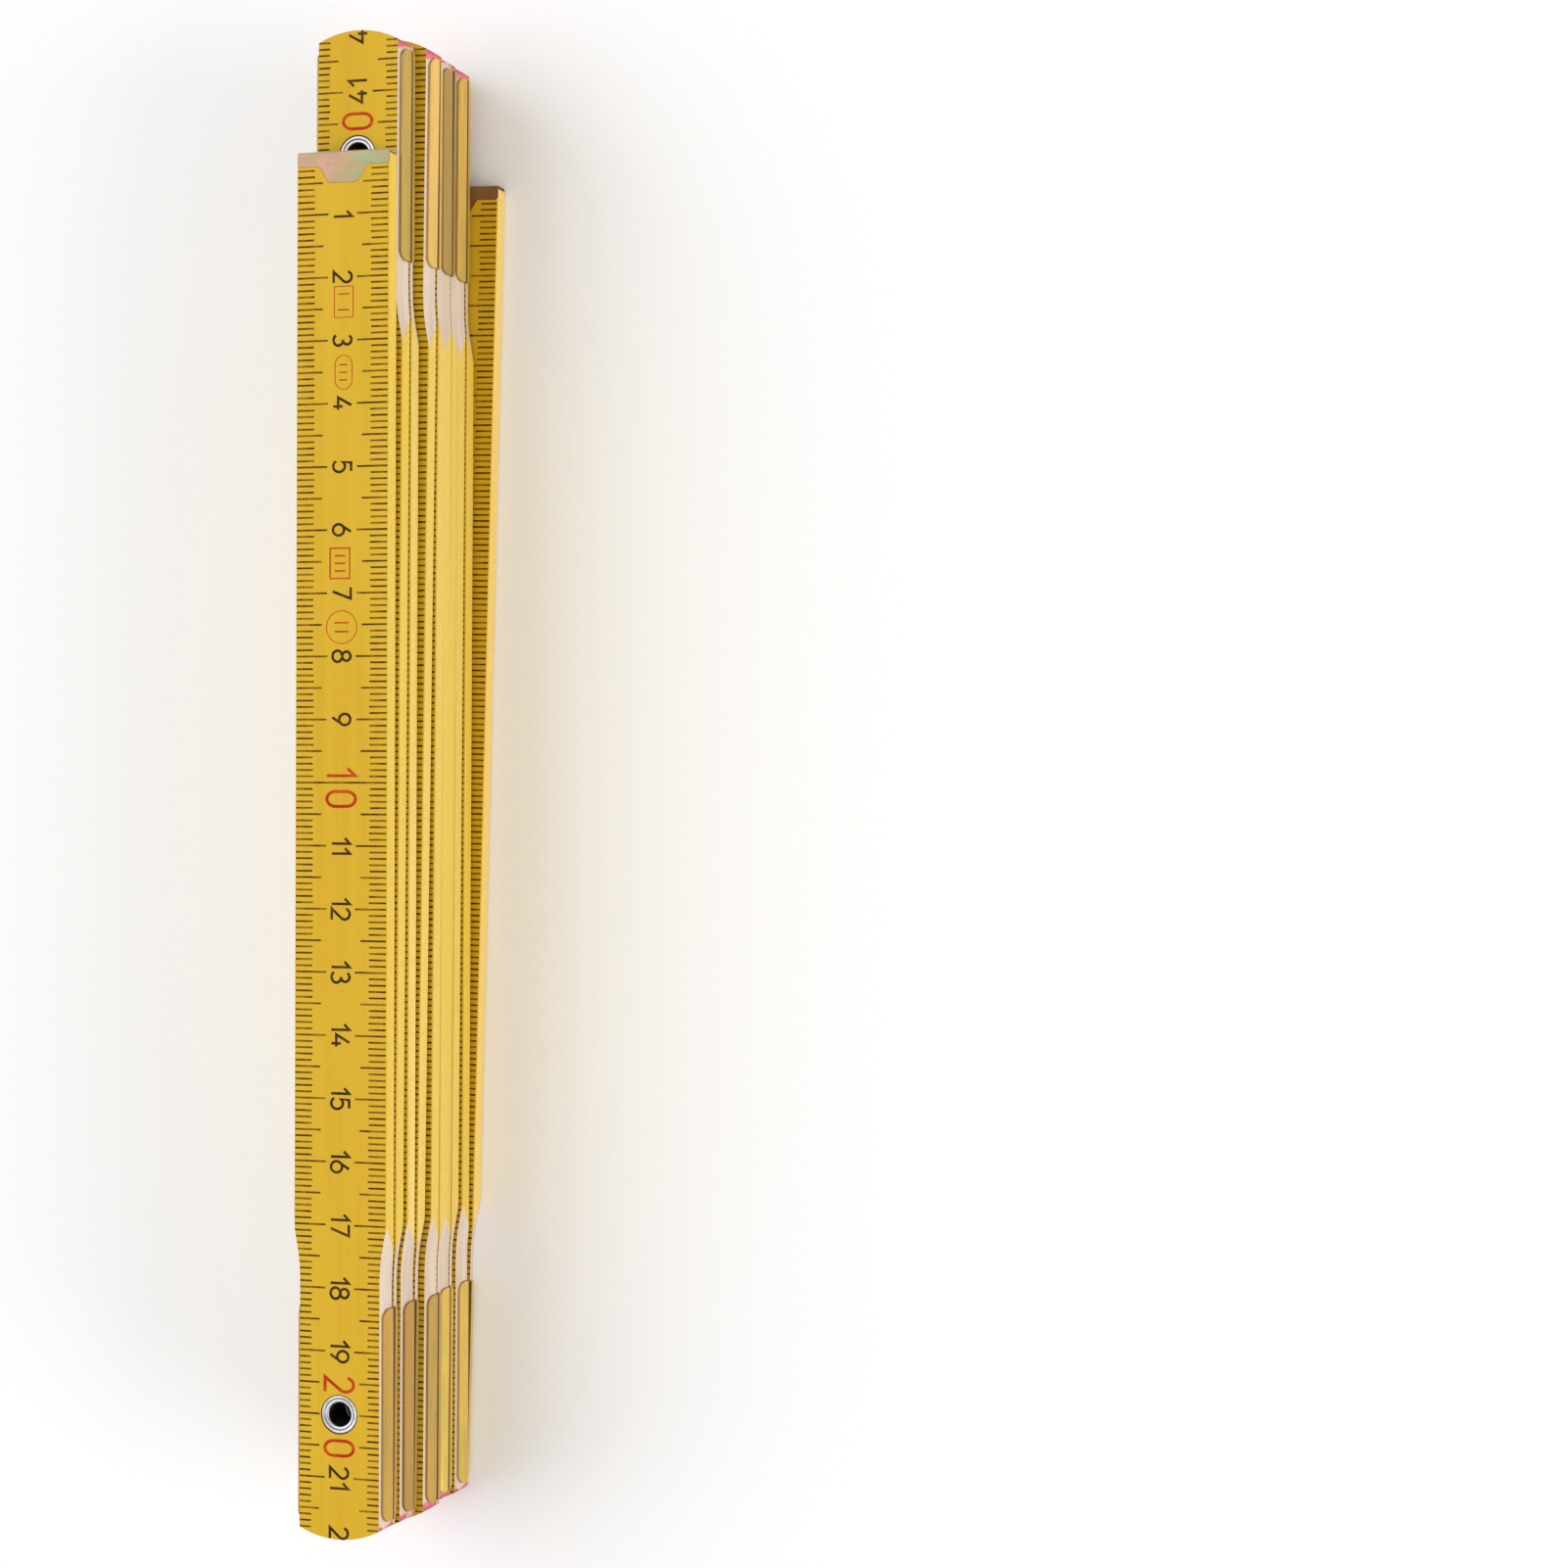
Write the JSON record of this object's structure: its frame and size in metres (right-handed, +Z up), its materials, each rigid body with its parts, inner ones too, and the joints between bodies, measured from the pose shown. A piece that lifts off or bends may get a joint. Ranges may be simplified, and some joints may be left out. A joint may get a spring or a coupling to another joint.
{
  "type": "folding rule",
  "caption": "Two-metre wooden folding rule with riveted plate hinges, hollow rivets and metal end caps, folded and slightly fanned.",
  "frame": {"origin": "on the underside of the bottom lath, on its centre line, midway between the two rows of rivets", "axes": "+Y along the bottom lath towards its capped end, +X across the laths, +Z up through the stack to the lath with the scale's zero"},
  "size_m": [0.0223, 0.2396, 0.0355],
  "materials": {
    "painted_birch": "yellow paint over birch, satin varnish",
    "passivated_plate": "yellow passivated zinc",
    "nickel_eyelet": "nickel plated, rolled",
    "passivated_cap": "iridescent passivated zinc",
    "black_print": "dark printing ink",
    "red_print": "red printing ink"
  },
  "bodies": {
    "section_01": {"lath_01": "painted_birch", "hinge_1_upper_plate": "passivated_plate", "end_cap_first": "passivated_cap"},
    "section_02": {"lath_02": "painted_birch", "hinge_2_upper_plate": "passivated_plate", "hinge_1_lower_plate": "passivated_plate", "eyelet_1": "nickel_eyelet"},
    "section_03": {"lath_03": "painted_birch", "hinge_3_upper_plate": "passivated_plate", "hinge_2_lower_plate": "passivated_plate", "eyelet_2": "nickel_eyelet"},
    "section_04": {"lath_04": "painted_birch", "hinge_4_upper_plate": "passivated_plate", "hinge_3_lower_plate": "passivated_plate", "eyelet_3": "nickel_eyelet"},
    "section_05": {"lath_05": "painted_birch", "hinge_5_upper_plate": "passivated_plate", "hinge_4_lower_plate": "passivated_plate", "eyelet_4": "nickel_eyelet"},
    "section_06": {"lath_06": "painted_birch", "hinge_6_upper_plate": "passivated_plate", "hinge_5_lower_plate": "passivated_plate", "eyelet_5": "nickel_eyelet"},
    "section_07": {"lath_07": "painted_birch", "hinge_7_upper_plate": "passivated_plate", "hinge_6_lower_plate": "passivated_plate", "eyelet_6": "nickel_eyelet"},
    "section_08": {"lath_08": "painted_birch", "hinge_8_upper_plate": "passivated_plate", "hinge_7_lower_plate": "passivated_plate", "eyelet_7": "nickel_eyelet"},
    "section_09": {"lath_09": "painted_birch", "hinge_9_upper_plate": "passivated_plate", "hinge_8_lower_plate": "passivated_plate", "eyelet_8": "nickel_eyelet"},
    "section_10": {"lath_10": "painted_birch", "hinge_9_lower_plate": "passivated_plate", "eyelet_9": "nickel_eyelet", "end_cap_last": "passivated_cap"}
  },
  "joints": [
    {"name": "hinge_9", "type": "hinge", "parent": "section_10", "child": "section_09", "pos_m": [0, -0.1, 0.00335], "axis": [0, 0, 1], "range_deg": [-1.65, 178.85]},
    {"name": "hinge_8", "type": "hinge", "parent": "section_09", "child": "section_08", "pos_m": [-0.00401, 0.09996, 0.00695], "axis": [0, 0, -1], "range_deg": [-0.65, 179.85]},
    {"name": "hinge_7", "type": "hinge", "parent": "section_08", "child": "section_07", "pos_m": [-0.00052, -0.10001, 0.01055], "axis": [0, 0, 1], "range_deg": [-0.4, 180.1]},
    {"name": "hinge_6", "type": "hinge", "parent": "section_07", "child": "section_06", "pos_m": [-0.00366, 0.09997, 0.01415], "axis": [0, 0, -1], "range_deg": [-0.25, 180.25]},
    {"name": "hinge_5", "type": "hinge", "parent": "section_06", "child": "section_05", "pos_m": [0.00035, -0.09999, 0.01775], "axis": [0, 0, 1], "range_deg": [-0.35, 180.15]},
    {"name": "hinge_4", "type": "hinge", "parent": "section_05", "child": "section_04", "pos_m": [-0.00314, 0.09998, 0.02135], "axis": [0, 0, -1], "range_deg": [-0.8, 179.7]},
    {"name": "hinge_3", "type": "hinge", "parent": "section_04", "child": "section_03", "pos_m": [-0.0007, -0.10001, 0.02495], "axis": [0, 0, 1], "range_deg": [-1, 179.5]},
    {"name": "hinge_2", "type": "hinge", "parent": "section_03", "child": "section_02", "pos_m": [-0.00489, 0.09995, 0.02855], "axis": [0, 0, -1], "range_deg": [-0.65, 179.85]},
    {"name": "hinge_1", "type": "hinge", "parent": "section_02", "child": "section_01", "pos_m": [-0.00122, -0.10002, 0.03215], "axis": [0, 0, 1], "range_deg": [-0.75, 179.75]}
  ]
}
